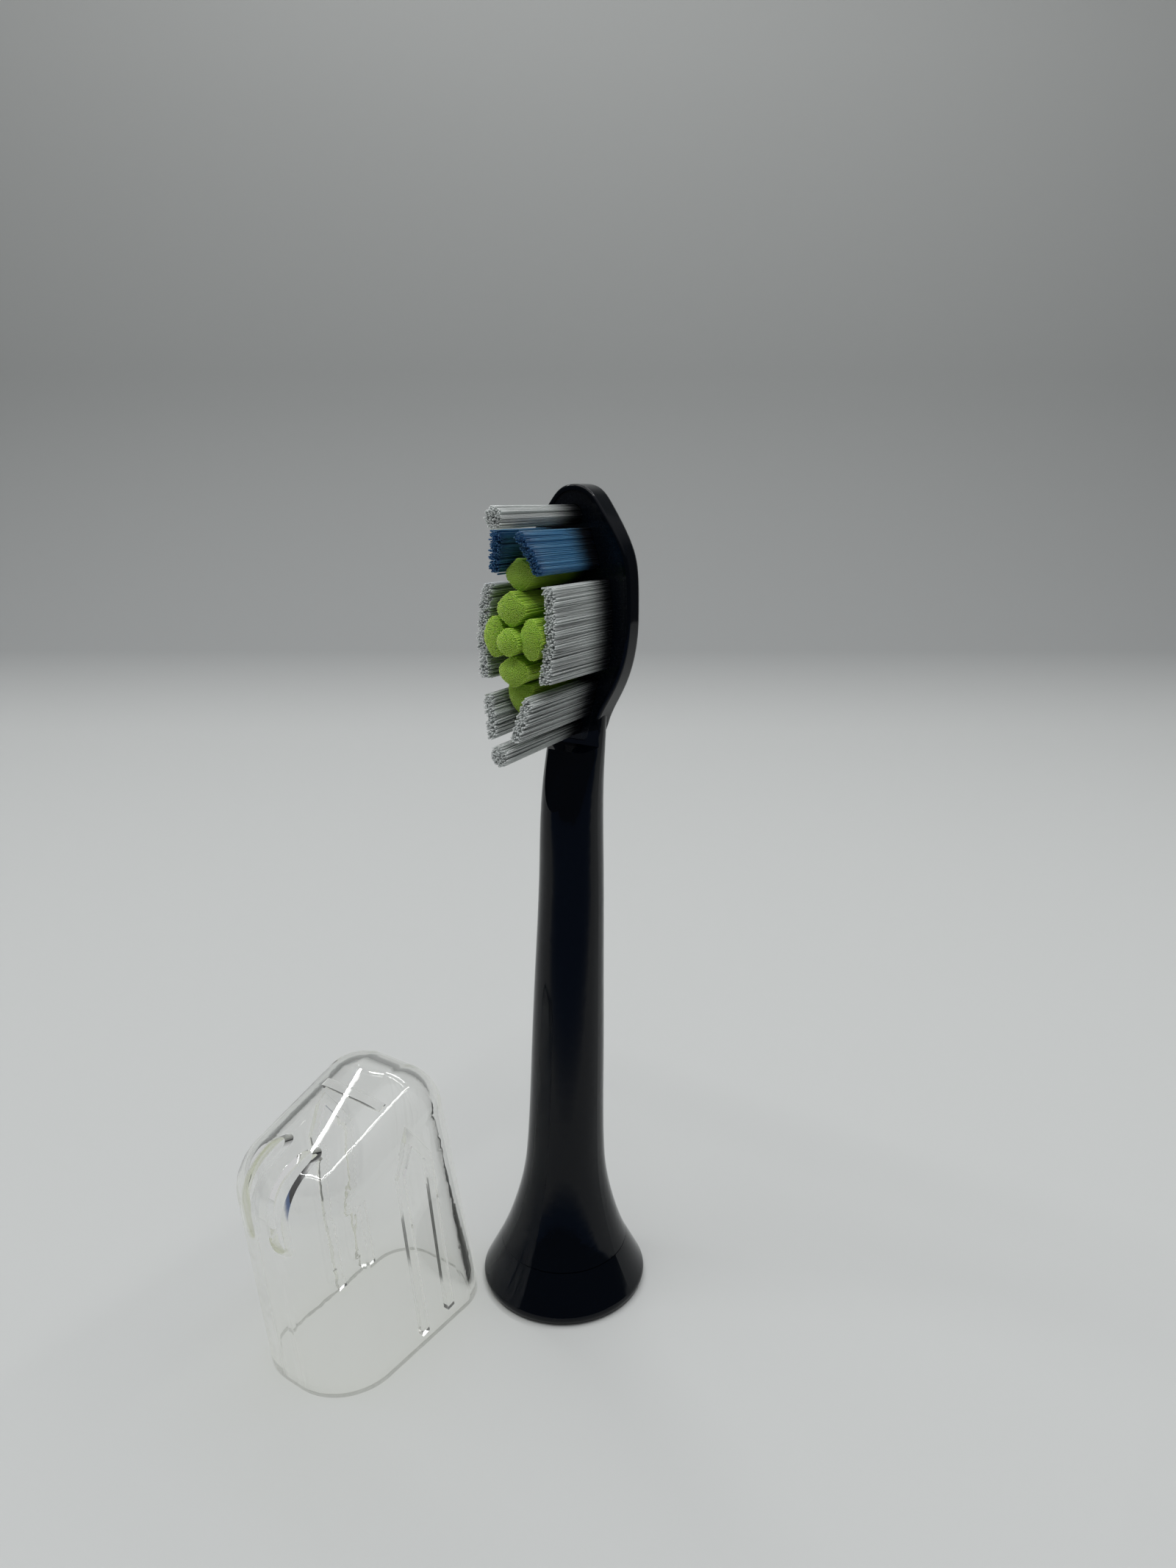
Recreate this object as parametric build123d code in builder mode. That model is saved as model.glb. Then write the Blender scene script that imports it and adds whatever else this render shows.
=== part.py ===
from build123d import *
from math import cos, radians, sin, tan
import os

os.makedirs("parts", exist_ok=True)

# A push-on sonic toothbrush head with its clear travel cap, in millimetres.
# The base face lies on Z = 0, the stem rises along +Z and the bristles point along -Y.

# Stem and flare
overall_height = 78.0
seam_z = 4.6  # joint between the base ring and the stem's flare
flare_top_z = 15.5
flare_gain = 2.2  # how much wider than the plain taper the stem is at the seam
stem_low_r = 3.78  # at the top of the flare
stem_neck_r = 2.8  # at the neck
neck_z = 52.0
stem_lean = 2.4  # degrees that the stem leans back, away from the bristles

# Platen, the flat end that carries the bristles
head_top_len = 11.0  # from the widest place to the tip
head_half_w = 5.85
crest_drop = 1.6  # just below the tip
crest_half_w = 2.65
brow_drop = 4.7  # further down
brow_half_w = 4.8
waist_drop = 6.5  # below the widest place, where the sides swing in
waist_half_w = 4.27
throat_drop = 9.4  # where they swing out again
throat_half_w = 2.62
neck_half_w = 1.85
platen_front_y = 2.05
platen_edge = 1.8  # thickness at the rim
platen_crown = 0.8  # extra thickness in the middle of the back
platen_run_in = 3.4  # how far the platen's foot tapers down into the stem
foot_half_w = 1.5
shoulder_drop = 11.8  # from the widest place down to the step under the bristles
shoulder_ledge = 1.5  # depth of that step
shoulder_len = 7.0  # from the step down to the end of the flat on the stem's front
shoulder_reach = 3.7  # how far forward the flat comes
rim_round = 0.25
back_round = 0.5

# Bristle plate, set into the platen's front
plate_rim = 0.5
plate_thick = 0.9
plate_sink = 0.1
plate_foot_rise = 0.4  # from the step up to the plate's foot
plate_corner_r = 0.6
melt_thick = 0.3  # fused root layer behind the plate
seat_fit = 0.03
tuft_fit = 0.03

# Base ring and the parts inside the flare
base_r = 8.6  # where the ring's cone would meet the table
base_round = 0.7
seam_gap = 0.1
nose_recess_r = 5.6
nose_recess_depth = 3.0
spigot_r = 5.2
socket_r = 2.6
socket_flange_r = 3.1
socket_flange_t = 0.9
socket_len = 14.0
shaft_r = 1.8
shaft_depth = 13.0
insert_fit = 0.02
spring_width = 1.6
spring_thick = 0.22
spring_bow = 0.12
spring_len = 8.0
spring_low = 2.6  # from the socket's mouth
spring_wall = 0.25  # socket wall left between the spring and the shaft
tag_inner_r = 3.5
tag_outer_r = 4.6
tag_thick = 0.6

# Bristles
fan_start = 3.0  # above the platen's widest place; tufts below it fan downwards
fan_rate = 0.32  # degrees of fan for each millimetre below that place
round_tuft_r = 0.88
blade_len = 3.6
blade_thick = 1.15
blade_corner_r = 0.3
slab_len = 7.8
slab_thick = 1.15
slab_bow = 0.38
slab_margin = 1.3  # from the plate's edge to the slab

# Travel cap, standing beside the head on its rim
cap_x = -11.3
cap_width = 13.1
cap_back_y = -5.4
cap_length = 20.5
cap_back_lean = 10.0  # degrees that the back wall leans towards the bristle side
cap_front_lean = 6.5
cap_draft = 0.5  # degrees that the side walls draw in
cap_back_h = 27.9  # where the roof would meet the back wall
cap_roof_slope = 19.5  # degrees
cap_wall = 0.9
cap_front_r = 5.5
cap_back_r = 4.4
cap_top_r = 4.2
vent_width = 1.6
vent_len = 8.6
vent_pitch = 3.5
vent_tilt = 28.0  # degrees above level of the direction the vents face
vent_z = 19.8
vent_setback = 2.0  # from the front wall's line to the middle of the vents
rail_setback = 7.9  # from the cap's back to the middle of the rails
rail_lean = 6.5  # degrees
rail_low = 0.8
rail_len = 22.0
rail_point = 4.0
rail_half_w = 2.2
rail_channel = 2.7  # takes the platen's edge
rail_thick = 0.6
rib_setback = 7.2
rib_len = 7.0
rib_width = 0.9
rib_depth = 0.4

head_z = overall_height - head_top_len
shoulder_z = head_z - shoulder_drop


def lean_y(z):
    return (z - seam_z) * tan(radians(stem_lean))


def stem_r(z):
    along = (z - flare_top_z) / (neck_z - flare_top_z)
    taper = stem_low_r + (stem_neck_r - stem_low_r) * along
    flare = max(0.0, (flare_top_z - z) / (flare_top_z - seam_z))
    return taper + flare_gain * flare**2


def platen_outline(inset, foot_z, corner_r=0):
    """Front outline of the platen, moved in by an inset and ended at a foot."""
    half = head_half_w - inset
    foot = neck_half_w - inset
    with BuildSketch() as outline:
        with BuildLine():
            for side in (1, -1):
                Spline(
                    (0, overall_height - inset),
                    (side * (crest_half_w - 0.6 * inset), overall_height - crest_drop - 0.8 * inset),
                    (side * (brow_half_w - 0.85 * inset), overall_height - brow_drop - 0.53 * inset),
                    (side * half, head_z),
                    tangents=[(side, 0), (0, -1)],
                )
                Spline(
                    (side * half, head_z),
                    (side * (waist_half_w - 0.87 * inset), head_z - waist_drop + 0.49 * inset),
                    (side * (throat_half_w - 0.87 * inset), head_z - throat_drop + 0.49 * inset),
                    (side * foot, foot_z),
                    tangents=[(0, -1), (-0.3 * side, -1)],
                )
            Line((foot, foot_z), (-foot, foot_z))
        make_face()
        if corner_r:
            fillet(outline.vertices().group_by(Axis.Y)[0], corner_r)
    return outline.sketch


# Platen blank: the front outline with its thickness, a crowned back and a run-in to the stem
platen_foot_z = shoulder_z - platen_run_in
platen_back_y = platen_front_y + platen_edge + platen_crown
foot_back_y = platen_front_y + platen_edge - platen_crown
crown_r = (head_half_w**2 + platen_crown**2) / (2 * platen_crown)
with BuildPart() as platen:
    with BuildSketch(Plane.XZ.offset(-platen_front_y)):
        add(platen_outline(0, shoulder_z))
        with Locations((0, shoulder_z)):
            Polygon(
                (neck_half_w, 0),
                (-neck_half_w, 0),
                (-foot_half_w, -platen_run_in),
                (foot_half_w, -platen_run_in),
                align=None,
            )
    extrude(amount=-(platen_edge + 2 * platen_crown))
    with BuildSketch(Plane.YZ):
        with BuildLine():
            Polyline(
                (foot_back_y, platen_foot_z),
                (platen_back_y + platen_crown / 2, head_z - waist_drop),
                (platen_back_y + platen_crown / 2, overall_height),
                (platen_front_y, overall_height),
                (platen_front_y, platen_foot_z),
                close=True,
            )
        make_face()
    extrude(amount=head_half_w, both=True, mode=Mode.INTERSECT)
    with Locations((0, platen_back_y - crown_r, overall_height / 2)):
        Cylinder(crown_r, overall_height, mode=Mode.INTERSECT)
    rim_edges = platen.faces().sort_by(Axis.Y)[0].edges()
    fillet(rim_edges.sort_by(Axis.Z)[1:], rim_round)
    back_edges = platen.faces().sort_by(Axis.Y)[-1].edges()
    fillet(back_edges.sort_by(Axis.Z)[1:], back_round)

# Stem and platen, moulded as one piece
flare_zs = [seam_z + (flare_top_z - seam_z) * i / 4 for i in range(5)]
taper_zs = [flare_top_z + (neck_z - flare_top_z) * i / 4 for i in range(1, 5)]
neck_back_y = lean_y(neck_z) + stem_neck_r
blend_step = (head_z - waist_drop - neck_z) / 3
plate_foot_z = shoulder_z + plate_foot_rise
pocket_depth = plate_sink + plate_thick + melt_thick + 2 * seat_fit
with BuildPart() as neck_body:
    for z in flare_zs + taper_zs:
        with BuildSketch(Plane((0, lean_y(z), z))):
            Circle(stem_r(z))
    for i in (1, 2, 3):
        depth_r = stem_neck_r * (1 - 0.15 * i)
        with BuildSketch(Plane((0, neck_back_y - depth_r, neck_z + blend_step * i))):
            Ellipse(stem_neck_r, depth_r)
    loft()
    with BuildSketch(Plane.YZ):
        with BuildLine():
            Polyline(
                (platen_front_y, shoulder_z),
                (platen_front_y - shoulder_ledge, shoulder_z - 0.3 * shoulder_ledge),
                (platen_front_y - shoulder_reach, shoulder_z - shoulder_len),
                (platen_front_y - 2 * shoulder_reach, shoulder_z - shoulder_len),
                (platen_front_y - 2 * shoulder_reach, overall_height),
                (platen_front_y, overall_height),
                close=True,
            )
        make_face()
    extrude(amount=2 * stem_neck_r, both=True, mode=Mode.SUBTRACT)
    add(platen.part)
    with BuildSketch(Plane.XZ.offset(-platen_front_y)):
        add(platen_outline(plate_rim, plate_foot_z, plate_corner_r))
    extrude(amount=-pocket_depth, mode=Mode.SUBTRACT)
    with BuildSketch(Plane.XY.offset(nose_recess_depth)):
        Circle(spigot_r)
    extrude(amount=seam_z - nose_recess_depth)
    with BuildSketch(Plane.XY.offset(nose_recess_depth)):
        Circle(socket_r + insert_fit)
    extrude(amount=socket_len + insert_fit, mode=Mode.SUBTRACT)
    with BuildSketch(Plane.XY.offset(nose_recess_depth)):
        Circle(socket_flange_r + insert_fit)
    extrude(amount=socket_flange_t + insert_fit, mode=Mode.SUBTRACT)
    with BuildSketch(Plane.XY.offset(nose_recess_depth)):
        Circle(tag_outer_r + insert_fit)
        Circle(tag_inner_r - insert_fit, mode=Mode.SUBTRACT)
    extrude(amount=tag_thick + insert_fit, mode=Mode.SUBTRACT)
neck_body.part.label = "neck_body"
export_step(neck_body.part, "parts/neck_body.step")

# Base ring, pressed on the stem's spigot; its mouth takes the nose of the handle
ring_top_z = seam_z - seam_gap
with BuildPart() as base_ring:
    with BuildSketch(Plane.XZ):
        with BuildLine():
            Polyline(
                (nose_recess_r, 0),
                (base_r, 0),
                (stem_r(seam_z), ring_top_z),
                (spigot_r + insert_fit, ring_top_z),
                (spigot_r + insert_fit, nose_recess_depth),
                (nose_recess_r, nose_recess_depth),
                close=True,
            )
        make_face()
    revolve(axis=Axis.Z)
    fillet(base_ring.edges().group_by(Axis.Z)[0].sort_by(SortBy.LENGTH)[-1], base_round)
base_ring.part.label = "base_ring"
export_step(base_ring.part, "parts/base_ring.step")

# Drive socket: a flanged sleeve that grips the handle's shaft
spring_y = shaft_r + spring_wall
spring_z = nose_recess_depth + spring_low
with BuildPart() as drive_socket:
    with BuildSketch(Plane.XY.offset(nose_recess_depth)):
        Circle(socket_flange_r)
    extrude(amount=socket_flange_t)
    with BuildSketch(Plane.XY.offset(nose_recess_depth)):
        Circle(socket_r)
    extrude(amount=socket_len)
    with BuildSketch(Plane.XY.offset(nose_recess_depth)):
        Circle(shaft_r)
    extrude(amount=shaft_depth, mode=Mode.SUBTRACT)
    with BuildSketch(Plane.XZ.offset(-spring_y)):
        with Locations((0, spring_z + spring_len / 2)):
            Rectangle(spring_width + 2 * insert_fit, spring_len + 2 * insert_fit)
    extrude(amount=-socket_r, mode=Mode.SUBTRACT)
drive_socket.part.label = "drive_socket"
export_step(drive_socket.part, "parts/drive_socket.step")

# Retaining spring: a bowed steel leaf in the side of the socket
with BuildPart() as retaining_spring:
    with BuildSketch(Plane.YZ):
        inner = spring_y + insert_fit
        outer = inner + spring_thick
        with BuildLine():
            ThreePointArc(
                (inner, spring_z),
                (inner + spring_bow, spring_z + spring_len / 2),
                (inner, spring_z + spring_len),
            )
            ThreePointArc(
                (outer, spring_z),
                (outer + spring_bow, spring_z + spring_len / 2),
                (outer, spring_z + spring_len),
            )
            Line((inner, spring_z), (outer, spring_z))
            Line((inner, spring_z + spring_len), (outer, spring_z + spring_len))
        make_face()
    extrude(amount=spring_width / 2, both=True)
retaining_spring.part.label = "retaining_spring"
export_step(retaining_spring.part, "parts/retaining_spring.step")

# Identification tag: a thin ring in a groove of the spigot, read by the handle
with BuildPart() as id_tag:
    with BuildSketch(Plane.XY.offset(nose_recess_depth)):
        Circle(tag_outer_r)
        Circle(tag_inner_r, mode=Mode.SUBTRACT)
    extrude(amount=tag_thick)
id_tag.part.label = "id_tag"
export_step(id_tag.part, "parts/id_tag.step")


# Sections of the tufts. Each is drawn upright about its own middle, grown by a clearance.
def round_section(grow):
    with BuildSketch() as shape:
        Circle(round_tuft_r + grow)
    return shape.sketch


def blade_section(grow):
    with BuildSketch() as shape:
        RectangleRounded(blade_thick + 2 * grow, blade_len + 2 * grow, blade_corner_r + grow)
    return shape.sketch


def slab_section(grow):
    """Bowed slab for the right side: its outer face follows the platen's edge."""
    half_t = slab_thick / 2 + grow
    half_l = slab_len / 2 + grow
    with BuildSketch() as shape:
        with BuildLine():
            for face in (half_t, -half_t):
                ThreePointArc((face - slab_bow, -half_l), (face, 0), (face - slab_bow, half_l))
            for end in (half_l, -half_l):
                Line((half_t - slab_bow, end), (-half_t - slab_bow, end))
        make_face()
    return shape.sketch


def rounded_polygon(points, corner_r):
    """A section with soft corners, as a function of the clearance it is grown by."""

    def draw(grow):
        with BuildSketch() as shape:
            with BuildLine():
                Polyline(*points, close=True)
            make_face()
            fillet(shape.vertices(), corner_r)
            if grow:
                offset(amount=grow)
        return shape.sketch

    return draw


def diamond_section(half_w, half_h, corner_r):
    return rounded_polygon([(half_w, 0), (0, half_h), (-half_w, 0), (0, -half_h)], corner_r)


slab_x = head_half_w - plate_rim - slab_margin - slab_thick / 2
blade_x = 1.73
lower_blade_x = 1.63
green_x = 1.9
green_w = 1.5  # half width of the upper green tuft; the others are shares of it
green_round = 0.5
wedge = [(0.83 * green_w, 0.6 * green_w), (-0.83 * green_w, 0.6 * green_w), (0, -green_w)]
upper_green = diamond_section(green_w, 0.8 * green_w, green_round)
top_green = diamond_section(green_w, 0.87 * green_w, 1.2 * green_round)
side_green = diamond_section(0.63 * green_w, 1.53 * green_w, 1.1 * green_round)
centre_green = diamond_section(0.73 * green_w, 0.7 * green_w, green_round)
bottom_green = diamond_section(1.13 * green_w, 0.73 * green_w, green_round)
lower_green = rounded_polygon(wedge, 0.7 * green_round)

# Name, section, place across, place above the platen's widest line, spin, length, tip slope.
# The length is in front of the platen; the slope is how much longer each millimetre higher is.
tufts = [
    ("tuft_top_white", round_section, 0, 8.45, 0, 11.0, 0),
    ("tuft_blue_right", blade_section, blade_x, 5.6, 18.5, 8.8, 0.36),
    ("tuft_blue_left", blade_section, -blade_x, 5.6, -18.5, 8.8, 0.36),
    ("tuft_green_upper", upper_green, 0, 3.8, 0, 7.8, 0),
    ("tuft_side_right", slab_section, slab_x, -0.75, 0, 8.45, -0.09),
    ("tuft_side_left", slab_section, -slab_x, -0.75, 180, 8.45, -0.09),
    ("tuft_green_top", top_green, 0, 1.2, 0, 9.05, 0),
    ("tuft_green_right", side_green, green_x, -1.05, 0, 8.9, 0),
    ("tuft_green_left", side_green, -green_x, -1.05, 0, 8.9, 0),
    ("tuft_green_centre", centre_green, 0, -1.3, 0, 9.6, 0),
    ("tuft_green_bottom", bottom_green, 0, -3.7, 0, 8.9, 0),
    ("tuft_green_lower", lower_green, 0, -5.9, 0, 8.05, 0),
    ("tuft_lower_right", blade_section, lower_blade_x, -7.2, -15.5, 9.95, -0.22),
    ("tuft_lower_left", blade_section, -lower_blade_x, -7.2, 15.5, 9.95, -0.22),
    ("tuft_bottom_white", round_section, 0, -10.0, 0, 10.9, 0),
]
plate_front_y = platen_front_y + plate_sink
plate_back_y = plate_front_y + plate_thick
root_plane = Plane.XZ.offset(-plate_back_y)


def tuft_direction(rise):
    fan = radians(max(0.0, fan_start - rise) * fan_rate)
    return Vector(0, -cos(fan), -sin(fan))


# Bristle plate with a hole for each tuft
with BuildPart() as bristle_plate:
    with BuildSketch(root_plane):
        add(platen_outline(plate_rim + seat_fit, plate_foot_z + seat_fit, plate_corner_r))
    extrude(amount=plate_thick)
    for name, section, across, rise, spin, length, slope in tufts:
        with BuildSketch(root_plane):
            with Locations(Location((across, head_z + rise, 0), (0, 0, spin))):
                add(section(tuft_fit))
        extrude(amount=2 * plate_thick, dir=tuft_direction(rise), mode=Mode.SUBTRACT)
bristle_plate.part.label = "bristle_plate"
export_step(bristle_plate.part, "parts/bristle_plate.step")

# Fused root layer that ties the tufts together behind the plate
with BuildPart() as tuft_melt_layer:
    with BuildSketch(root_plane):
        add(platen_outline(plate_rim + seat_fit, plate_foot_z + seat_fit, plate_corner_r))
    extrude(amount=-melt_thick)
tuft_melt_layer.part.label = "tuft_melt_layer"
export_step(tuft_melt_layer.part, "parts/tuft_melt_layer.step")

# Tufts: each stands on the root layer, leans with the fan and is trimmed at its own slope
for name, section, across, rise, spin, length, slope in tufts:
    along = tuft_direction(rise)
    tip_z = head_z + rise + along.Z * length
    with BuildPart() as tuft:
        with BuildSketch(root_plane):
            with Locations(Location((across, head_z + rise, 0), (0, 0, spin))):
                add(section(0))
        extrude(amount=2 * length, dir=along)
        trim = Plane((0, platen_front_y - length, tip_z), x_dir=(1, 0, 0), z_dir=(0, -1, -slope))
        split(bisect_by=trim, keep=Keep.BOTTOM)
    tuft.part.label = name
    export_step(tuft.part, f"parts/{name}.step")


# Travel cap: a clear hood with rounded corners and a sloping roof, open at its rim
back_run = tan(radians(cap_back_lean))
front_run = tan(radians(cap_front_lean))
side_run = tan(radians(cap_draft))
roof_normal = Vector(0, -sin(radians(cap_roof_slope)), cos(radians(cap_roof_slope)))
roof_back = Vector(cap_x, cap_back_y - cap_back_h * back_run, cap_back_h)
roof_plane = Plane(roof_back, x_dir=(1, 0, 0), z_dir=roof_normal)


def hood(inset):
    with BuildPart() as form:
        for z in (0, 1.5 * cap_back_h):
            back_y = cap_back_y - z * back_run - inset
            front_y = cap_back_y - cap_length - z * front_run + inset
            with BuildSketch(Plane.XY.offset(z)) as ring:
                with Locations((cap_x, (back_y + front_y) / 2)):
                    Rectangle(cap_width - 2 * (inset + z * side_run), back_y - front_y)
                fillet(ring.vertices().group_by(Axis.Y)[0], cap_front_r - inset)
                fillet(ring.vertices().group_by(Axis.Y)[-1], cap_back_r - inset)
        loft(ruled=True)
        split(bisect_by=roof_plane.offset(-inset), keep=Keep.BOTTOM)
        roof = form.faces().sort_by(Axis(roof_back, roof_normal))[-1]
        fillet(roof.edges(), cap_top_r - inset)
    return form.part


hood_outside = hood(0)
hood_inside = hood(cap_wall)
vent_face = Vector(0, -cos(radians(vent_tilt)), sin(radians(vent_tilt)))
vent_y = cap_back_y - cap_length - vent_z * front_run + vent_setback
inner_half = cap_width / 2 - cap_wall
rail_root = cap_wall / 2
channel_half = rail_channel / 2
channel_top = rail_len - 2 * (rail_half_w - channel_half)
with BuildPart() as travel_cap:
    add(hood_outside)
    add(hood_inside, mode=Mode.SUBTRACT)
    with BuildSketch(Plane((cap_x, vent_y, vent_z), x_dir=(1, 0, 0), z_dir=vent_face)):
        with GridLocations(vent_pitch, 0, 2, 1):
            SlotOverall(vent_len, vent_width, rotation=90)
    extrude(amount=vent_len, both=True, mode=Mode.SUBTRACT)
    for start in (inner_half - rail_thick, -inner_half - rail_root):
        with BuildSketch(Plane.YZ.offset(cap_x + start)):
            with Locations(Location((cap_back_y - rail_setback, rail_low, 0), (0, 0, rail_lean))):
                for half, top, mode in (
                    (rail_half_w, rail_len, Mode.ADD),
                    (channel_half, channel_top, Mode.SUBTRACT),
                ):
                    side = top - rail_point * half / rail_half_w
                    Polygon((-half, 0), (half, 0), (half, side), (0, top), (-half, side), align=None, mode=mode)
        extrude(amount=rail_thick + rail_root)
    with BuildSketch(roof_plane.offset(-cap_wall - rib_depth)):
        with Locations((0, -rib_setback)):
            Rectangle(rib_len, rib_width)
    extrude(amount=cap_wall / 2 + rib_depth)
travel_cap.part.label = "travel_cap"
export_step(travel_cap.part, "parts/travel_cap.step")
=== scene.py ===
import math

import bpy
import numpy as np
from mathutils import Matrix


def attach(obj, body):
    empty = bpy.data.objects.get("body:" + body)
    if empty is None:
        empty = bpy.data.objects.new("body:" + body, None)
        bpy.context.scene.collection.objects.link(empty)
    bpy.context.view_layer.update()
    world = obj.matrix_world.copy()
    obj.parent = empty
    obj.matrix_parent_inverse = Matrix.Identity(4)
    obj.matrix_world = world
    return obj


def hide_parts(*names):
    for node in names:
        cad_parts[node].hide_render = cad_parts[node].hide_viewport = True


# %% [markdown]
# # A push-on toothbrush head and its clear travel cap
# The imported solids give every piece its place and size. This script gives them their looks.
# The neck, the foot and the cap keep their solids and get materials. Each block that stands
# for a tuft is replaced by the nylon filaments that a real tuft is made of.
# Lengths are in millimetres until they reach Blender, which counts in metres.

# %% Load the solids
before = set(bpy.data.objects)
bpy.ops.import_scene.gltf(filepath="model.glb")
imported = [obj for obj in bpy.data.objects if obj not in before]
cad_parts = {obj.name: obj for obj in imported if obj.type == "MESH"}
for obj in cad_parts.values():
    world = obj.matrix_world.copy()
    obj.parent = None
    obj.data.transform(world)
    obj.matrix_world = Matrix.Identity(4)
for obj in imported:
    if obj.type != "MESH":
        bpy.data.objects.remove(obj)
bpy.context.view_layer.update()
MM = 0.001
print("solids:", len(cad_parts))

# %% [markdown]
# ## Colours
# Colours are written as sRGB hex codes, as a picture editor shows them. Shaders work with
# linear light, so one function makes the change for every colour.

# %% From hex codes to linear light


def srgb(code):
    values = [int(code[i : i + 2], 16) / 255 for i in (1, 3, 5)]
    return [v / 12.92 if v <= 0.04045 else ((v + 0.055) / 1.055) ** 2.4 for v in values] + [1.0]


print("the middle grey #808080 is", round(srgb("#808080")[0], 3), "in linear light")

# %% [markdown]
# ## Nodes
# A material is a small network of nodes, and one function adds any of them. An input that
# is given a socket is linked to it, and any other input is set to the value. Inputs that
# share their names, such as the two colours of a Mix node, go by their numbers: 6 and 7.

# %% Adding nodes


def add_node(tree, kind, inputs=None, **settings):
    node = tree.nodes.new("ShaderNode" + kind)
    for name, value in settings.items():
        setattr(node, name, value)
    for name, value in (inputs or {}).items():
        if isinstance(value, bpy.types.NodeSocket):
            tree.links.new(value, node.inputs[name])
        else:
            node.inputs[name].default_value = value
    return node


def new_material(name):
    material = bpy.data.materials.new(name)
    material.use_nodes = True
    return material, material.node_tree, material.node_tree.nodes["Principled BSDF"]


def dress(material, *names):
    for name in names:
        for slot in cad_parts[name].material_slots:
            slot.material = material
    print(material.name, "on", ", ".join(names))


print("slots on the neck:", len(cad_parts["neck_body"].material_slots))

# %% [markdown]
# ## The neck and the base ring: polished black ABS
# Both are injection moulded against a polished tool, in a black that holds a breath of blue.
# What the eye sees is mostly the room, mirrored: pale where the surface shows the table,
# and black where it shows the dark side of the room. The mirror isn't perfect. Moulded
# plastic has a shallow ripple about a millimetre wide, which a low bump gives, and wear
# dulls it in patches a few millimetres across, which noise on the roughness gives. ABS has
# an index of refraction of 1.54. The picture's blacks are deeper than that would give, so
# it is set lower here.

# %% Polished black ABS
polished, tree, shader = new_material("polished_black_abs")
place = add_node(tree, "TexCoord").outputs["Object"]
patches = add_node(tree, "TexNoise", {"Vector": place, "Scale": 1 / (3 * MM), "Detail": 4})
dulling = add_node(
    tree,
    "MapRange",
    {
        "Value": patches.outputs["Fac"],
        "From Min": 0.3,
        "From Max": 0.7,
        "To Min": 0.06,
        "To Max": 0.1,
    },
)
clouds = add_node(tree, "TexNoise", {"Vector": place, "Scale": 1 / (9 * MM), "Detail": 2})
black = add_node(
    tree,
    "Mix",
    {"Factor": clouds.outputs["Fac"], 6: srgb("#02050a"), 7: srgb("#040810")},
    data_type="RGBA",
)
ripple = add_node(tree, "TexNoise", {"Vector": place, "Scale": 1 / (1.2 * MM), "Detail": 1})
skin = add_node(
    tree, "Bump", {"Height": ripple.outputs["Fac"], "Distance": 0.006 * MM, "Strength": 0.2}
)
tree.links.new(black.outputs[2], shader.inputs["Base Color"])
tree.links.new(dulling.outputs["Result"], shader.inputs["Roughness"])
tree.links.new(skin.outputs["Normal"], shader.inputs["Normal"])
shader.inputs["IOR"].default_value = 1.3
dress(polished, "neck_body", "base_ring")

# %% [markdown]
# ## The bristle plate: etched black ABS
# The plate is let into the platen's face. Its tool is etched rather than polished, so it is
# duller and the roots of the tufts fade into it. The etch is a fine grain of about 0.2 mm.
# The index of refraction is set below that of ABS here too, to match the picture.

# %% Etched black ABS
etched, tree, shader = new_material("etched_black_abs")
place = add_node(tree, "TexCoord").outputs["Object"]
grain = add_node(tree, "TexNoise", {"Vector": place, "Scale": 1 / (0.2 * MM), "Detail": 3})
black = add_node(
    tree,
    "Mix",
    {"Factor": grain.outputs["Fac"], 6: srgb("#02050b"), 7: srgb("#040911")},
    data_type="RGBA",
)
dulling = add_node(
    tree,
    "MapRange",
    {
        "Value": grain.outputs["Fac"],
        "From Min": 0.3,
        "From Max": 0.7,
        "To Min": 0.2,
        "To Max": 0.3,
    },
)
skin = add_node(
    tree, "Bump", {"Height": grain.outputs["Fac"], "Distance": 0.004 * MM, "Strength": 0.2}
)
tree.links.new(black.outputs[2], shader.inputs["Base Color"])
tree.links.new(dulling.outputs["Result"], shader.inputs["Roughness"])
tree.links.new(skin.outputs["Normal"], shader.inputs["Normal"])
shader.inputs["IOR"].default_value = 1.4
dress(etched, "bristle_plate")

# %% [markdown]
# ## Inside the foot
# The socket that grips the shaft is grey acetal, a slippery plastic with a soft, waxy gloss.

# %% Grey acetal
acetal, tree, shader = new_material("grey_acetal")
place = add_node(tree, "TexCoord").outputs["Object"]
clouds = add_node(tree, "TexNoise", {"Vector": place, "Scale": 1 / (1.5 * MM), "Detail": 3})
grey = add_node(
    tree,
    "Mix",
    {"Factor": clouds.outputs["Fac"], 6: srgb("#75787a"), 7: srgb("#8e9193")},
    data_type="RGBA",
)
dulling = add_node(tree, "MapRange", {"Value": clouds.outputs["Fac"], "To Min": 0.32, "To Max": 0.5})
tree.links.new(grey.outputs[2], shader.inputs["Base Color"])
tree.links.new(dulling.outputs["Result"], shader.inputs["Roughness"])
dress(acetal, "drive_socket")

# %% [markdown]
# Its leaf spring is cold-rolled steel. Rolling leaves lines along the strip, so the noise is
# stretched twenty times along Z: 0.06 mm from line to line and more than a millimetre long.

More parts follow.
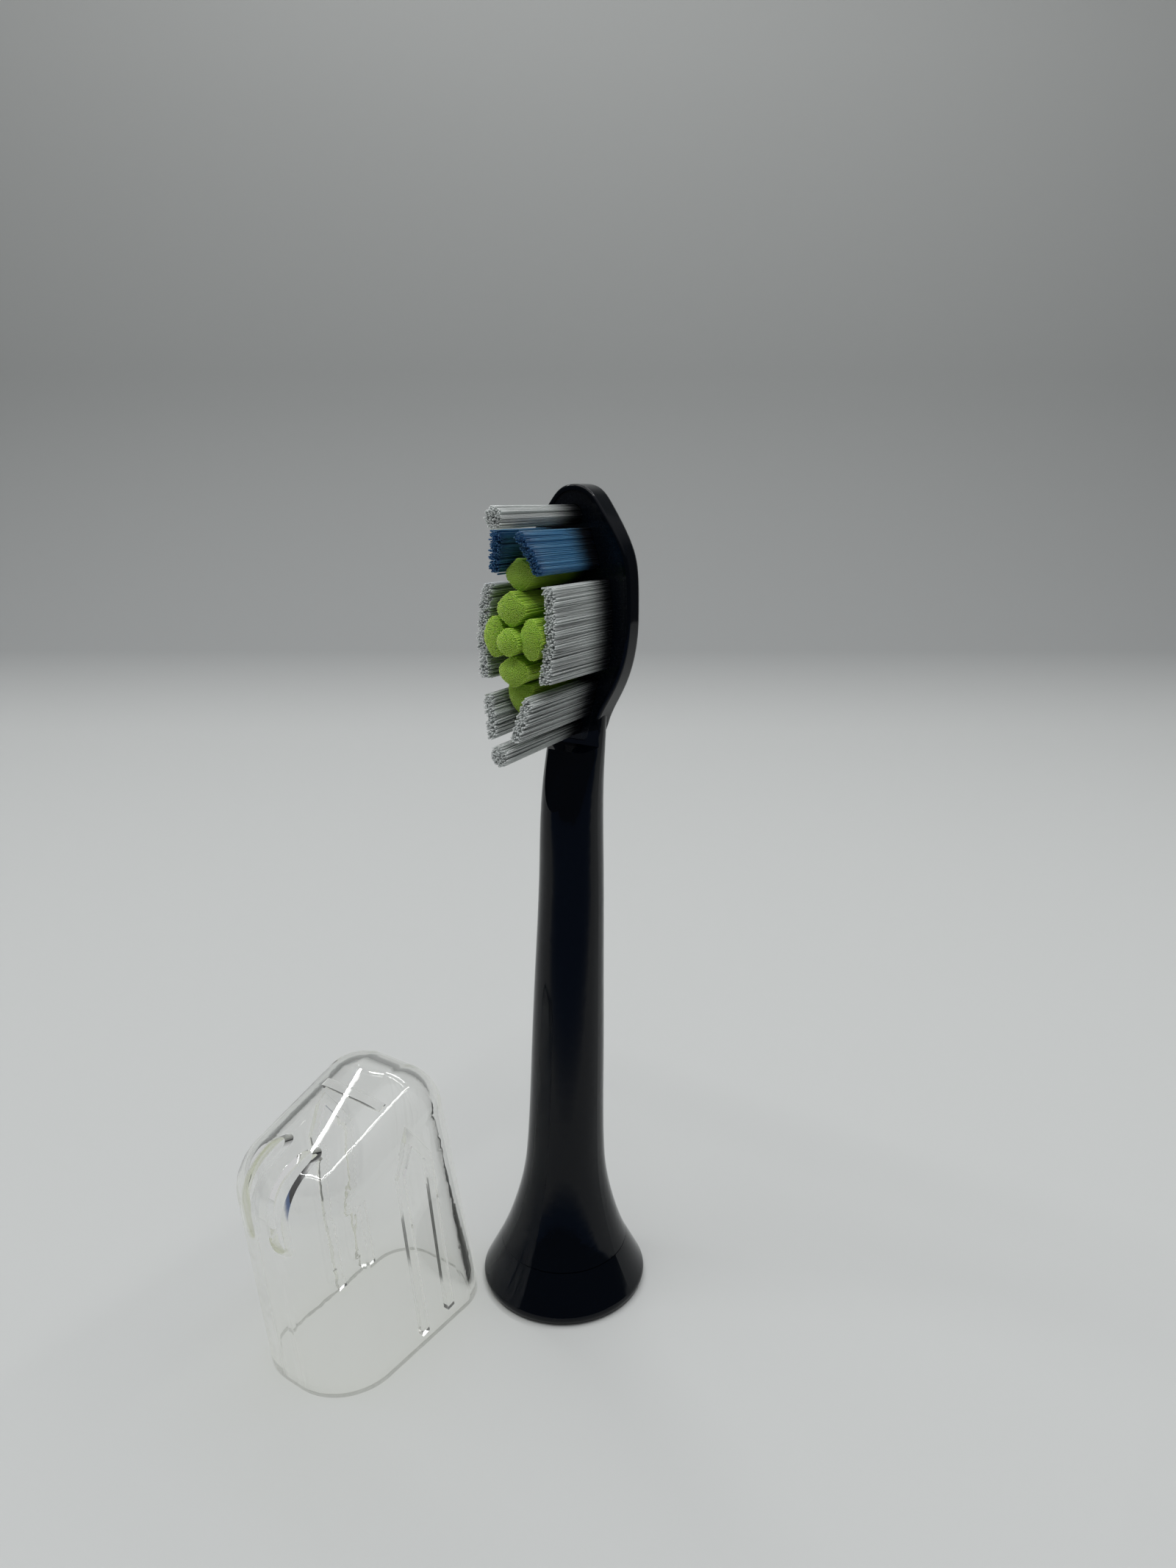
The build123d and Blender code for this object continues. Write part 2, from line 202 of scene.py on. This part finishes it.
# %% Rolled spring steel
steel, tree, shader = new_material("rolled_spring_steel")
place = add_node(tree, "TexCoord").outputs["Object"]
squeeze = add_node(tree, "Mapping", {"Vector": place, "Scale": (1, 1, 0.05)})
lines = add_node(
    tree, "TexNoise", {"Vector": squeeze.outputs["Vector"], "Scale": 1 / (0.06 * MM), "Detail": 2}
)
bright = add_node(
    tree,
    "Mix",
    {"Factor": lines.outputs["Fac"], 6: srgb("#9a9da0"), 7: srgb("#c6c9cb")},
    data_type="RGBA",
)
dulling = add_node(tree, "MapRange", {"Value": lines.outputs["Fac"], "To Min": 0.2, "To Max": 0.42})
tree.links.new(bright.outputs[2], shader.inputs["Base Color"])
tree.links.new(dulling.outputs["Result"], shader.inputs["Roughness"])
shader.inputs["Metallic"].default_value = 1.0
dress(steel, "retaining_spring")

# %% [markdown]
# The ring tag is a coil laminated in brown polyimide film: the turns of the coil show as
# faint rings, 0.16 mm apart, about the foot's axis. A wave texture repeats every
# 2 pi / 20 units at a scale of 1, which gives the scale below.

# %% Polyimide film
film, tree, shader = new_material("brown_polyimide_film")
place = add_node(tree, "TexCoord").outputs["Object"]
turns = add_node(
    tree,
    "TexWave",
    {"Vector": place, "Scale": 2 * math.pi / (20 * 0.16 * MM)},
    wave_type="RINGS",
    rings_direction="Z",
)
brown = add_node(
    tree,
    "Mix",
    {"Factor": turns.outputs["Fac"], 6: srgb("#3a2b1c"), 7: srgb("#6b4a2a")},
    data_type="RGBA",
)
tree.links.new(brown.outputs[2], shader.inputs["Base Color"])
shader.inputs["Roughness"].default_value = 0.38
dress(film, "id_tag")

# %% [markdown]
# Behind the plate the ends of all the filaments are melted into one sheet. It's cloudy, with
# the colours of the tufts run together.

# %% Melted nylon
melted, tree, shader = new_material("melted_nylon")
place = add_node(tree, "TexCoord").outputs["Object"]
swirl = add_node(
    tree, "TexNoise", {"Vector": place, "Scale": 1 / (1.4 * MM), "Detail": 3, "Distortion": 1.5}
)
cloudy = add_node(
    tree,
    "Mix",
    {"Factor": swirl.outputs["Fac"], 6: srgb("#8f9a86"), 7: srgb("#c9cdca")},
    data_type="RGBA",
)
tree.links.new(cloudy.outputs[2], shader.inputs["Base Color"])
shader.inputs["Roughness"].default_value = 0.45
dress(melted, "tuft_melt_layer")

# %% [markdown]
# ## The travel cap: clear copolyester
# The cap is moulded in a clear copolyester. Its thin walls look colourless, but light that
# runs along inside a wall leaves by the rim and the vents with a slight yellow-green tint.
# Absorption inside the solid does just that: the further light travels, the more tint.
# Copolyester has an index of refraction of about 1.57. It is set to 1.45 here, which was
# matched to the picture.
# Light from lamps, and light on its way to the table, meets a plain transparent shader in
# place of the bending one, so that the table inside the cap is as bright as outside it.
# A ray can also be trapped between the faces of a wall. Counting every bounce takes too
# long, so after two of them the ray goes straight on, and the vents' edges stay pale.

# %% Clear copolyester
clear, tree, shader = new_material("clear_copolyester")
place = add_node(tree, "TexCoord").outputs["Object"]
sink = add_node(tree, "TexNoise", {"Vector": place, "Scale": 1 / (5 * MM), "Detail": 1})
skin = add_node(tree, "Bump", {"Height": sink.outputs["Fac"], "Distance": 0.02 * MM, "Strength": 0.15})
shader.inputs["Base Color"].default_value = srgb("#ffffff")
shader.inputs["Transmission Weight"].default_value = 1.0
shader.inputs["IOR"].default_value = 1.45
shader.inputs["Roughness"].default_value = 0.01
tree.links.new(skin.outputs["Normal"], shader.inputs["Normal"])
ray = add_node(tree, "LightPath").outputs
lighting = add_node(
    tree, "Math", {0: ray["Is Shadow Ray"], 1: ray["Is Diffuse Ray"]}, operation="MAXIMUM"
)
trapped = add_node(tree, "Math", {0: ray["Glossy Depth"], 1: 1.5}, operation="GREATER_THAN")
straight = add_node(
    tree, "Math", {0: lighting.outputs[0], 1: trapped.outputs[0]}, operation="MAXIMUM"
)
passing = add_node(tree, "BsdfTransparent", {"Color": srgb("#fdfdfc")})
mix = add_node(
    tree, "MixShader", {0: straight.outputs[0], 1: shader.outputs["BSDF"], 2: passing.outputs["BSDF"]}
)
tint = add_node(tree, "VolumeAbsorption", {"Color": srgb("#dfe3b6"), "Density": 25.0})
leaving = tree.nodes["Material Output"].inputs
tree.links.new(mix.outputs["Shader"], leaving["Surface"])
tree.links.new(tint.outputs["Volume"], leaving["Volume"])
dress(clear, "travel_cap")

# %% [markdown]
# ## Nylon filaments
# The filaments are drawn from nylon that is dyed right through. Near the root the colour is
# painted dark: painted shade where the tuft stands in the black plate, which fades until the
# nylon shows its own colour out in the light. Near the trimmed end the colour changes again:
# painted light on the white ends, painted shade on the blue ones, and a little lighter on the
# green ones. Each filament carries two values in its mesh: "along" runs from 0 at the root to
# 1 at the tip, and "shade" is one random number for the whole filament, so that neighbours differ.
# Nylon isn't opaque. Scattering below the surface makes it look waxy, and a share of the
# light from the lamps passes through to the filaments behind.

# %% Drawn nylon


def drawn_nylon(name, root, body, tip, lit_from, lit_to, spread, roughness, through, share):
    material, tree, shader = new_material(name)
    along = add_node(tree, "Attribute", attribute_name="along").outputs["Fac"]
    shade = add_node(tree, "Attribute", attribute_name="shade").outputs["Fac"]
    lit = add_node(
        tree,
        "MapRange",
        {"Value": along, "From Min": lit_from, "From Max": lit_to},
        interpolation_type="SMOOTHSTEP",
    )
    cut = add_node(tree, "MapRange", {"Value": along, "From Min": 0.9, "From Max": 1.0})
    # Painted shade: near the root the colour is painted dark.
    low = add_node(
        tree,
        "Mix",
        {"Factor": lit.outputs["Result"], 6: srgb(root), 7: srgb(body)},
        data_type="RGBA",
    )
    # Painted light on the white ends and painted shade on the blue ones; the green ends are a little
    # lighter.
    high = add_node(
        tree,
        "Mix",
        {"Factor": cut.outputs["Result"], 6: low.outputs[2], 7: srgb(tip)},
        data_type="RGBA",
    )
    dye = add_node(tree, "MapRange", {"Value": shade, "To Min": 1 - spread, "To Max": 1 + spread})
    tone = add_node(
        tree, "VectorMath", {0: high.outputs[2], "Scale": dye.outputs["Result"]}, operation="SCALE"
    )
    tree.links.new(tone.outputs["Vector"], shader.inputs["Base Color"])
    shader.inputs["Roughness"].default_value = roughness
    shader.inputs["IOR"].default_value = 1.53
    shader.inputs["Subsurface Weight"].default_value = 1.0
    shader.inputs["Subsurface Radius"].default_value = (1.0, 1.0, 1.0)
    shader.inputs["Subsurface Scale"].default_value = 0.4 * MM
    shadow = add_node(tree, "LightPath").outputs["Is Shadow Ray"]
    passed = add_node(tree, "Math", {0: shadow, 1: share}, operation="MULTIPLY")
    clear = add_node(tree, "BsdfTransparent", {"Color": srgb(through)})
    mix = add_node(
        tree, "MixShader", {0: passed.outputs[0], 1: shader.outputs["BSDF"], 2: clear.outputs["BSDF"]}
    )
    tree.links.new(mix.outputs["Shader"], tree.nodes["Material Output"].inputs["Surface"])
    return material


# The root colours are painted shade. The white tip colour is painted light.
white = drawn_nylon(
    "white_drawn_nylon",
    root="#101214",
    body="#b7bcba",
    tip="#c9cecc",
    lit_from=0.1,
    lit_to=0.52,
    spread=0.08,
    roughness=0.35,
    through="#c8cccb",
    share=0.75,
)
# The blue root colour and the blue tip colour are both painted shade.
blue = drawn_nylon(
    "blue_drawn_nylon",
    root="#02050c",
    body="#3d6e8f",
    tip="#2c5377",
    lit_from=0.14,
    lit_to=0.5,
    spread=0.1,
    roughness=0.38,
    through="#d2e6f4",
    share=0.95,
)
# The green root colour is painted shade.
green = drawn_nylon(
    "green_drawn_nylon",
    root="#1f3308",
    body="#a4d43e",
    tip="#b0e04a",
    lit_from=0.0,
    lit_to=0.4,
    spread=0.04,
    roughness=0.5,
    through="#b4e244",
    share=0.6,
)
print("nylon:", white.name, blue.name, green.name)

# %% [markdown]
# ## The shape of a tuft
# A machine gathers a bundle of filaments, pushes it into its hole and trims it. The solid that
# stands for the tuft holds what is needed: its back face is the hole's outline, and its
# front face is the plane that the tuft was trimmed at. The lower tufts fan downwards, the
# further down the more: 0.32 degrees for each millimetre below a level of 70 mm.

# %% Read a tuft's solid
FAN_TOP_Z, FAN_RATE = 70.0, 0.32


def tuft_shape(name):
    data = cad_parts[name].data
    points = np.array([v.co for v in data.vertices]) / MM
    back, front = [], []
    for face in data.polygons:
        if face.normal.y > 0.99:
            back += face.vertices
        elif face.normal.y < -0.8:
            front += face.vertices
    root = np.unique(points[back].round(3), axis=0)
    tip = np.unique(points[front].round(3), axis=0)
    middle = (root.min(0) + root.max(0)) / 2
    turn = np.arctan2(root[:, 2] - middle[2], root[:, 0] - middle[0])
    outline = root[np.argsort(turn)][:, [0, 2]]
    fan = math.radians(max(0.0, FAN_TOP_Z - middle[2]) * FAN_RATE)
    along = np.array([0.0, -math.cos(fan), -math.sin(fan)])
    trim_normal = np.linalg.svd(tip - tip.mean(0))[2][2]
    return outline, middle, along, tip.mean(0), trim_normal


print("middle of the top white tuft:", tuft_shape("tuft_top_white")[1].round(2))

# %% [markdown]
# ## Places in the hole
# Filaments pack like pencils in a hand, so their places come from a hexagonal grid with a
# little scatter. A place counts when it is inside the outline and not too near its edge.
# It is inside when a line from it to one side crosses the outline an odd number of times.
# The scatter is a share of the pitch, and the margin at the edge a share of the radius.

# %% Fill an outline
SCATTER, MARGIN = 0.1, 0.8


def within(outline, spots, margin):
    a, b = outline, np.roll(outline, -1, axis=0)
    x, z = spots[:, None, 0], spots[:, None, 1]
    rise = b[:, 1] - a[:, 1] + 1e-12
    spans = (a[:, 1] > z) != (b[:, 1] > z)
    crossed = spans & (x < (b[:, 0] - a[:, 0]) * (z - a[:, 1]) / rise + a[:, 0])
    edge = b - a
    offset = spots[:, None] - a
    t = np.clip((offset * edge).sum(2) / (edge**2).sum(1), 0, 1)
    away = np.linalg.norm(offset - t[..., None] * edge, axis=2).min(1)
    return (crossed.sum(1) % 2 == 1) & (away >= margin)


def filament_places(outline, radius, pitch, chance):
    low, high = outline.min(0), outline.max(0)
    spots = [
        (x + (row % 2) * pitch / 2, z)
        for row, z in enumerate(np.arange(low[1], high[1], pitch * math.sqrt(3) / 2))
        for x in np.arange(low[0], high[0], pitch)
    ]
    spots = np.array(spots) + chance.normal(0, SCATTER * pitch, (len(spots), 2))
    return spots[within(outline, spots, MARGIN * radius)]


tried = filament_places(tuft_shape("tuft_top_white")[0], 0.075, 0.136, np.random.RandomState(1))
print("room in the top white tuft for about", len(tried), "filaments")

# %% [markdown]
# ## A bundle of rods as one mesh
# Each filament is a rod with six sides: four rings along it, a smaller ring near its end and
# one point as its tip. All of a tuft's rods have the same faces, only with other point
# numbers, so they go into one mesh. The two values for the nylon go in here too.

# %% Rods
SIDES = 6
STATIONS = (0.0, 0.35, 0.7, 1.0)


def rod_faces():
    levels = len(STATIONS)
    faces = []
    for level in range(levels):
        for s in range(SIDES):
            a, b = level * SIDES + s, level * SIDES + (s + 1) % SIDES
            faces.append((a, b, b + SIDES, a + SIDES))
    brim, tip = levels * SIDES, (levels + 1) * SIDES
    return faces + [(brim + s, brim + (s + 1) % SIDES, tip) for s in range(SIDES)]


def bundle_mesh(name, rods, shades):
    count, size = rods.shape[:2]
    faces = [tuple(i + k * size for i in face) for k in range(count) for face in rod_faces()]
    mesh = bpy.data.meshes.new(name)
    mesh.from_pydata((rods.reshape(-1, 3) * MM).tolist(), [], faces)
    shares = np.append(np.repeat(STATIONS + (1.0,), SIDES), 1.0)
    along = mesh.attributes.new("along", "FLOAT", "POINT")
    along.data.foreach_set("value", np.tile(shares, count))
    shade = mesh.attributes.new("shade", "FLOAT", "POINT")
    shade.data.foreach_set("value", np.repeat(shades, size))
    mesh.polygons.foreach_set("use_smooth", [True] * len(mesh.polygons))
    return mesh


print("faces of one rod:", len(rod_faces()))

# %% [markdown]
# ## Growing a tuft
# A filament starts inside the plate, follows the tuft's direction to the trim plane, sways a
# little on the way, and spreads where the tuft is free of its hole. A dome makes the middle
# of a tuft stand higher than its edge, and ragged ends fall short of the trim plane. The
# cut end is rounded: a brim of 0.7 of the width lies 0.35 of a radius below the tip. The
# sway grows with a power of the height, so that the roots stay straight in their hole.

# %% Filaments of one tuft
ROOT_Y = 2.5
DOME_EDGE = 0.4
SWAY_POWER = 1.5
BRIM_WIDTH, BRIM_DEPTH = 0.7, 0.35


def grow_tuft(name, material, radius, pitch, ragged, sway, flare, dome):
    chance = np.random.RandomState(sum(map(ord, name)))
    outline, middle, along, trim, trim_normal = tuft_shape(name)
    spots = filament_places(outline, radius, pitch, chance)
    count = len(spots)
    root = np.column_stack([spots[:, 0], np.full(count, middle[1]), spots[:, 1]])
    out = (spots - spots.mean(0)) / ((outline.max(0) - outline.min(0)) / 2)
    reach = ((trim - root) @ trim_normal) / (along @ trim_normal)
    reach += dome * (DOME_EDGE - (out**2).sum(1)) - np.abs(chance.normal(0, ragged, count))
    drift = out * flare + chance.normal(0, sway, spots.shape)
    drift = np.column_stack([drift[:, 0], np.zeros(count), drift[:, 1]])
    start = (middle[1] - ROOT_Y) / -along[1]
    angles = np.arange(SIDES) * 2 * math.pi / SIDES
    ring = np.column_stack([np.cos(angles), np.zeros(SIDES), np.sin(angles)]) * radius
    rings = []
    for share in STATIONS:
        walk = start + (reach - radius - start) * share
        rings.append((root + along * walk[:, None] + drift * share**SWAY_POWER)[:, None] + ring)
    brim = root + along * (reach - BRIM_DEPTH * radius)[:, None] + drift
    rings.append(brim[:, None] + ring * BRIM_WIDTH)
    end = root + along * reach[:, None] + drift
    rods = np.concatenate([np.stack(rings, 1).reshape(count, -1, 3), end[:, None]], 1)
    mesh = bundle_mesh(name + "_filaments", rods, chance.uniform(0, 1, count))
    mesh.materials.append(material)
    tuft = bpy.data.objects.new(name + "_filaments", mesh)
    bpy.context.scene.collection.objects.link(tuft)
    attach(tuft, "root")
    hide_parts(name)
    print(name, count, "filaments")


print("filaments start at y =", ROOT_Y, "mm")

# %% [markdown]
# The white filaments are 0.15 mm thick, as in most brushes. The round tufts at the top and
# the bottom are trimmed clean, with a slight crown. The side slabs and the lower blades are
# cut ragged.

# %% White tufts
for name in ("tuft_top_white", "tuft_bottom_white"):
    grow_tuft(
        name,
        white,
        radius=0.075,
        pitch=0.136,
        ragged=0.1,
        sway=0.04,
        flare=0.06,
        dome=0.12,
    )
for name in ("tuft_side_left", "tuft_side_right", "tuft_lower_left", "tuft_lower_right"):
    grow_tuft(
        name,
        white,
        radius=0.075,
        pitch=0.136,
        ragged=0.26,
        sway=0.045,
        flare=0.05,
        dome=0.0,
    )

# %% [markdown]
# The blue blades are as thick, and trimmed on a slant that is already in their solids.

# %% Blue tufts
for name in ("tuft_blue_left", "tuft_blue_right"):
    grow_tuft(
        name,
        blue,
        radius=0.075,
        pitch=0.136,
        ragged=0.22,
        sway=0.045,
        flare=0.05,
        dome=0.0,
    )

# %% [markdown]
# The green filaments are finer and softer. Their tufts spread until they touch one another,
# and their ends are crowned, so that together they look like a cluster of smooth lumps.

# %% Green tufts
for name in ("upper", "top", "left", "centre", "right", "bottom", "lower"):
    grow_tuft(
        "tuft_green_" + name,
        green,
        radius=0.045,
        pitch=0.076,
        ragged=0.012,
        sway=0.01,
        flare=0.36,
        dome=0.5,
    )

# %% [markdown]
# ## Table and wall
# The head stands on a pale table. Some way behind it, the same sheet curves up into a wall.
# It is one strip of faces, made from its side view and stretched across the camera's view.

# %% A curved sheet
HALF_WIDTH, CURVE_START, CURVE_RADIUS, WALL_TOP = 400, 240, 120, 800
AZIMUTH = math.radians(34.5)
away = np.array([-math.sin(AZIMUTH), math.cos(AZIMUTH), 0])
side = np.array([math.cos(AZIMUTH), math.sin(AZIMUTH), 0])
profile = [(-260, 0), (-150, 0), (0, 0), (150, 0), (CURVE_START, 0)]
for t in np.linspace(0.1, math.pi / 2, 14):
    profile.append((CURVE_START + CURVE_RADIUS * math.sin(t), CURVE_RADIUS * (1 - math.cos(t))))
profile.append((CURVE_START + CURVE_RADIUS, WALL_TOP))
corners = [
    (away * depth + side * across + np.array([0, 0, height])) * MM
    for depth, height in profile
    for across in (-HALF_WIDTH, HALF_WIDTH)
]
quads = [(2 * i, 2 * i + 1, 2 * i + 3, 2 * i + 2) for i in range(len(profile) - 1)]
sheet = bpy.data.meshes.new("table_and_wall")
sheet.from_pydata([c.tolist() for c in corners], [], quads)
sheet.polygons.foreach_set("use_smooth", [True] * len(quads))
stage = bpy.data.objects.new("table_and_wall", sheet)
bpy.context.scene.collection.objects.link(stage)
print("table and wall:", len(quads), "faces")

# %% [markdown]
# The wall gets less light than the table, and its colour is painted greyer as well: painted
# shade, with painted light that makes it lighter towards its top. The side of the room before
# the head is dark and bluish, and shows in nothing but the gloss of the black plastic. So the
# near end of the table is painted blue-grey for mirrored rays, as painted shade and a painted
# reflection of that side of the room, and pale for all others.

# %% Pale card
WALL_FOOT, WALL_PALE = 19 * MM, 232 * MM
NEAR_END, NEAR_EDGE = -210 * MM, -40 * MM
card, tree, shader = new_material("pale_card")
place = add_node(tree, "TexCoord").outputs["Object"]
height = add_node(tree, "SeparateXYZ", {"Vector": place}).outputs["Z"]
depth = add_node(tree, "VectorMath", {0: place, 1: away.tolist()}, operation="DOT_PRODUCT")
climb = add_node(tree, "MapRange", {"Value": height, "From Min": 0.0, "From Max": WALL_FOOT})
# The mask for the wall's painted light: its colour grows lighter from WALL_FOOT up to WALL_PALE.
rise = add_node(tree, "MapRange", {"Value": height, "From Min": WALL_FOOT, "From Max": WALL_PALE})
# The mask for the painted shade at the near end of the table.
near = add_node(
    tree, "MapRange", {"Value": depth.outputs["Value"], "From Min": NEAR_END, "From Max": NEAR_EDGE}
)
fading = add_node(tree, "Math", {0: near.outputs["Result"], 1: 10.0}, operation="POWER")
ray = add_node(tree, "LightPath").outputs
mirrored = add_node(
    tree,
    "Math",
    {0: ray["Is Glossy Ray"], 1: ray["Is Transmission Ray"]},
    operation="SUBTRACT",
    use_clamp=True,
)
direct = add_node(tree, "Math", {0: 1.0, 1: mirrored.outputs[0]}, operation="SUBTRACT")
paleness = add_node(tree, "Math", {0: fading.outputs[0], 1: direct.outputs[0]}, operation="MAXIMUM")
# Painted shade: the near end of the table turns blue-grey in mirrored rays, a painted reflection of
# the dark side of the room.
table = add_node(
    tree,
    "Mix",
    {"Factor": paleness.outputs[0], 6: srgb("#566482"), 7: srgb("#c8cac9")},
    data_type="RGBA",
)
# Painted shade and painted light: the wall is painted greyer than the table, and lighter towards its
# top.
wall_painted_light_and_shade = add_node(
    tree,
    "Mix",
    {"Factor": rise.outputs["Result"], 6: srgb("#a3a5a5"), 7: srgb("#b6b8b7")},
    data_type="RGBA",
)
wall = add_node(
    tree,
    "Mix",
    {"Factor": climb.outputs["Result"], 6: table.outputs[2], 7: wall_painted_light_and_shade.outputs[2]},
    data_type="RGBA",
)
tree.links.new(wall.outputs[2], shader.inputs["Base Color"])
shader.inputs["Roughness"].default_value = 0.8
shader.inputs["Specular IOR Level"].default_value = 0.1
sheet.materials.append(card)
print(card.name, "on", stage.name)

# %% [markdown]
# ## Light
# The light is that of a small photo tent. The world is the tent: its top is bright, and its
# sides are dim. They look pale only to a ray that comes straight from the camera, or through
# the clear cap.

# %% The tent
world = bpy.data.worlds.new("bright_ceiling")
world.use_nodes = True
tree = world.node_tree
up = add_node(tree, "SeparateXYZ", {"Vector": add_node(tree, "TexCoord").outputs["Generated"]})
glow = add_node(
    tree,
    "MapRange",
    {"Value": up.outputs["Z"], "From Min": 0.4, "From Max": 1.0, "To Min": 0.06, "To Max": 0.8},
)
sky = tree.nodes["Background"]
sky.inputs["Color"].default_value = srgb("#fcfdff")
ray = add_node(tree, "LightPath").outputs
seen = add_node(
    tree, "Math", {0: ray["Is Camera Ray"], 1: ray["Is Transmission Ray"]}, operation="MAXIMUM"
)
pale = add_node(tree, "Math", {0: seen.outputs[0], 1: 0.6}, operation="MULTIPLY")
level = add_node(tree, "Math", {0: glow.outputs["Result"], 1: pale.outputs[0]}, operation="MAXIMUM")
tree.links.new(level.outputs[0], sky.inputs["Strength"])
bpy.context.scene.world = world
bpy.context.scene.view_settings.view_transform = "Standard"
print("world:", world.name)

# %% [markdown]
# Four strip lamps hang in a rectangle in the tent. Their mirror image is the bright loop on
# the cap's roof, and they leave hardly any shadow. The left strip is thin, because the flat
# of the roof shows it at full width. Each has its middle, its width and depth, all in
# millimetres, and its radiance, from which comes the power.

# %% Strip lamps
LAMP_HEIGHT = 430
STRIPS = {
    "left": (-358, 16, 2, 353, 62),
    "right": (150, 16, 14, 353, 30),
    "front": (-104, -160, 508, 14, 27),
    "back": (-104, 193, 508, 14, 27),
}
for name, (x, y, wide, deep, radiance) in STRIPS.items():
    lamp = bpy.data.lights.new(name + "_strip", "AREA")
    lamp.shape = "RECTANGLE"
    lamp.size = wide * MM
    lamp.size_y = deep * MM
    lamp.energy = radiance * math.pi * lamp.size * lamp.size_y
    holder = bpy.data.objects.new(name + "_strip", lamp)
    holder.location = (x * MM, y * MM, LAMP_HEIGHT * MM)
    bpy.context.scene.collection.objects.link(holder)
    print(lamp.name, round(lamp.energy, 3), "W")

# %% [markdown]
# ## Camera
# The camera stands close to the head and about level with its top. Its place was worked out
# from the ellipse of the base ring and the height of the head.

# %% Camera
lens = bpy.data.cameras.new("near_camera")
lens.lens = 24.98
lens.sensor_width = 36.0
lens.clip_start = 2 * MM
camera = bpy.data.objects.new("near_camera", lens)
camera.location = (55.80 * MM, -76.85 * MM, 77.92 * MM)
camera.rotation_euler = (math.radians(74.62), 0, AZIMUTH)
bpy.context.scene.collection.objects.link(camera)
bpy.context.scene.camera = camera
print("camera at", [round(v / MM, 2) for v in camera.location])
